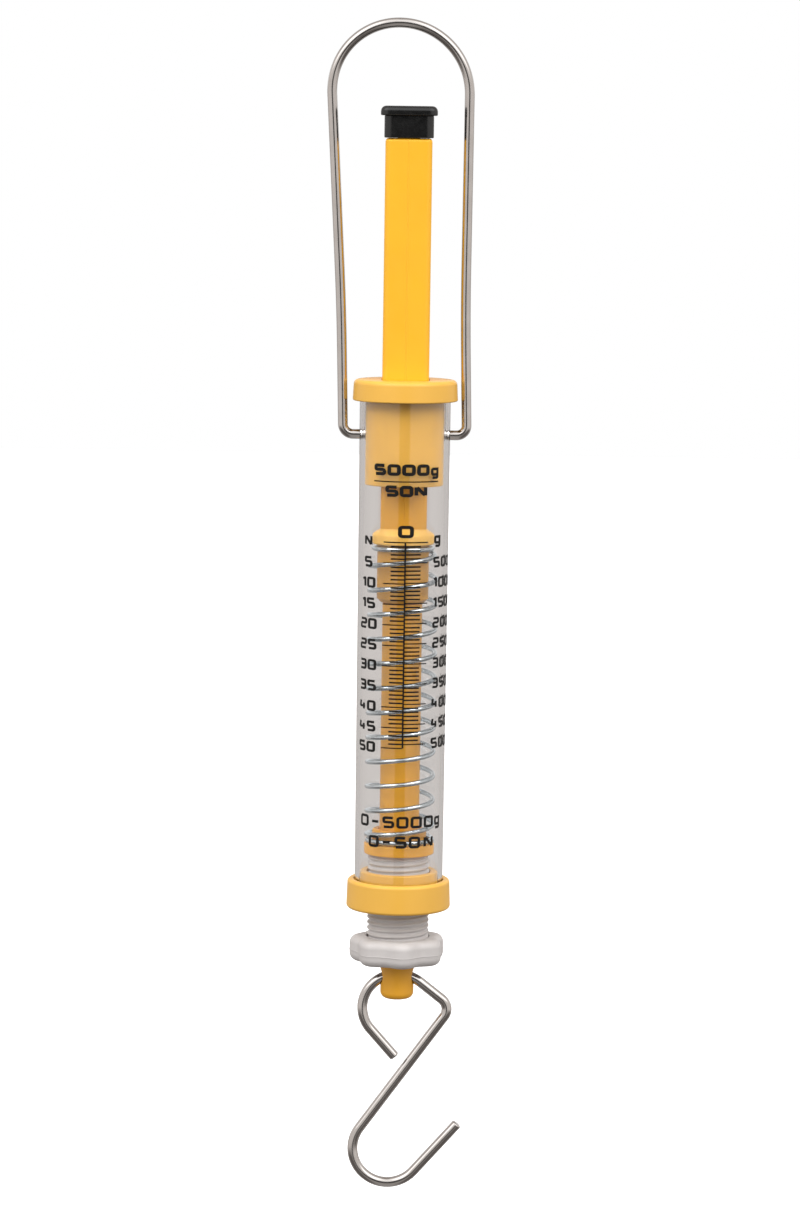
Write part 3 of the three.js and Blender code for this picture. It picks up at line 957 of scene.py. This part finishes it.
class Print:
    """Ink on the barrel, laid as thin closed ribbons round its curve."""

    def __init__(self):
        self.vertices = []
        self.faces = []

    def on_barrel(self, across, height, lift):
        share = (height - BARREL_FOOT) / (BARREL_TOP - BARREL_FOOT)
        radius = BARREL_FOOT_RADIUS + (BARREL_TOP_RADIUS - BARREL_FOOT_RADIUS) * share
        angle = math.radians(PRINT_ANGLE) + across / radius
        return ((radius + lift) * math.sin(angle), -(radius + lift) * math.cos(angle), height)

    def ribbon(self, points, width, stretch=1.0):
        """A line of (across, height) points, where across is measured round the barrel from the print's
        middle. Its upright strokes come out wider than its level ones by the stretch."""
        path = [Vector((x / stretch, z)) for x, z in points]
        closed = (path[0] - path[-1]).length < 1e-6
        if closed:
            path.pop()
        path = finely(path, closed)
        count = len(path)
        first = len(self.vertices)
        for i, here in enumerate(path):
            behind = path[i - 1] if closed or i else here - (path[1] - here)
            ahead = path[(i + 1) % count] if closed or i < count - 1 else here + (here - path[i - 1])
            into = (here - behind).normalized()
            out = (ahead - here).normalized()
            along = (into + out).normalized()
            normal = Vector((-along.y, along.x))
            reach = width / 2 / max(0.45, along.dot(into))
            for side in (-1, 1):
                edge = here + normal * side * reach
                for lift in (0.01, 0.05):
                    self.vertices.append(self.on_barrel(edge.x * stretch, edge.y, lift))
        for i in range(count if closed else count - 1):
            a = first + 4 * i
            b = first + 4 * ((i + 1) % count)
            self.faces += [
                (a, b, b + 2, a + 2),
                (a + 1, a + 3, b + 3, b + 1),
                (a, a + 1, b + 1, b),
                (a + 2, b + 2, b + 3, a + 3),
            ]
        if not closed:
            last = first + 4 * (count - 1)
            self.faces += [(first, first + 2, first + 3, first + 1), (last, last + 1, last + 3, last + 2)]

    def sign(self, name, left, foot, style):
        width, height, stroke, stretch = style
        upright = stroke * stretch
        for corners in SIGNS[name]:
            placed = []
            for x, y, corner in corners:
                across = left + upright / 2 + x * (width - upright)
                up = foot + stroke / 2 + y * (height - stroke)
                placed.append((across / stretch, up, corner * width / stretch))
            line = rounded(placed, steps=5, closed=False)
            self.ribbon([(x * stretch, z) for x, z in line], stroke, stretch)

    def text(self, signs, left, foot, style, pitch):
        """Signs from left to right. The figure 1 is narrow, so what follows it moves closer."""
        for name in signs:
            shift = ONE_SHIFT * pitch if name == "1" else 0
            self.sign(name, left - shift, foot, style)
            left += pitch - shift

    def centred_text(self, signs, foot, style, pitch, middle=0.0):
        span = (len(signs) - 1) * pitch + style[0] - ONE_SHIFT * pitch * signs.count("1")
        self.text(signs, middle - span / 2, foot, style, pitch)


def finely(path, closed, spacing=0.7):
    """The same line with points added on its long stretches, so that it can follow the barrel's curve."""
    points = []
    count = len(path)
    for i in range(count if closed else count - 1):
        here = path[i]
        ahead = path[(i + 1) % count]
        pieces = max(1, math.ceil(abs(ahead.x - here.x) / spacing))
        points += [here.lerp(ahead, piece / pieces) for piece in range(pieces)]
    if not closed:
        points.append(path[-1])
    return points


def printed_scale():
    """Newtons on the left, grams on the right. A style is a sign's width, height, stroke and stretch."""
    zero = -180.2
    newton = 1.466
    hundred_grams = newton * 0.98067
    count = 50
    middle = -0.25
    minor_half = 5.4
    major_half = 8.2
    minor_stroke = 0.56
    major_stroke = 0.4
    ink = Print()
    ink.ribbon([(middle - 7.9, zero), (middle + 8.4, zero)], 0.46)
    ink.ribbon([(middle, zero), (middle, zero - count * newton)], 0.62)
    for step in range(1, count + 1):
        is_major = step % 5 == 0
        reach = major_half if is_major else minor_half
        stroke = major_stroke if is_major else minor_stroke
        newton_mark = zero - step * newton
        gram_mark = zero - step * hundred_grams
        ink.ribbon([(-reach, newton_mark), (middle - 0.2, newton_mark)], stroke)
        ink.ribbon([(middle + 0.2, gram_mark), (reach, gram_mark)], stroke)
    newton_style = (4.2, 3.85, 0.86, 1.4)
    gram_style = (3.5, 3.85, 0.84, 1.25)
    newton_middle = -14.9
    gram_left = 10.7
    for step in range(5, count + 1, 5):
        foot = zero - step * newton - newton_style[1] / 2
        ink.centred_text(str(step), foot, newton_style, 4.65, newton_middle)
        foot = zero - step * hundred_grams - gram_style[1] / 2
        ink.text(str(step * 100), gram_left, foot, gram_style, 4.05)
    ink.centred_text("N", -181.9, (4.1, 3.9, 0.95, 1.15), 4.6, -15.0)
    ink.text("g", gram_left + 0.2, -180.9, (3.4, 3.0, 0.95, 1.15), 4.6)
    ink.centred_text("0", -178.6, (5.7, 4.4, 1.15, 1.3), 5.7, -0.1)
    ink.text("5000", -12.45, -156.65, (4.9, 4.1, 1.18, 1.2), 5.33)
    ink.text("g", 9.0, -156.75, (3.6, 2.95, 1.0, 1.1), 5.3)
    ink.ribbon([(-12.5, -158.75), (12.5, -158.75)], 0.44)
    ink.centred_text("50N", -164.1, (4.85, 4.05, 1.15, 1.2), 5.25, -0.1)
    range_style = (4.4, 4.25, 0.95, 1.15)
    ink.centred_text("0-5000", -282.3, range_style, 5.1, -2.4)
    ink.text("g", 13.2, -281.9, (3.3, 3.2, 0.95, 1.1), 5.1)
    ink.centred_text("0-50", -289.5, range_style, 5.1, -3.0)
    ink.text("N", 8.2, -289.5, range_style, 5.1)
    piece = mesh_piece("scale_print", ink.vertices, ink.faces)
    piece.data.materials.append(INK)
    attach(piece, "housing")


# ---------------------------------------------------------------- making

camera()
studio()
wire_bail()
barrel()
top_cap()
guide_sleeve()
bottom_cap()
push_cap()
plunger_bar()
pointer_collar()
plunger_stem()
load_spring()
spring_seat()
zero_adjust_bush()
zero_adjust_knob()
load_hook()
printed_scale()
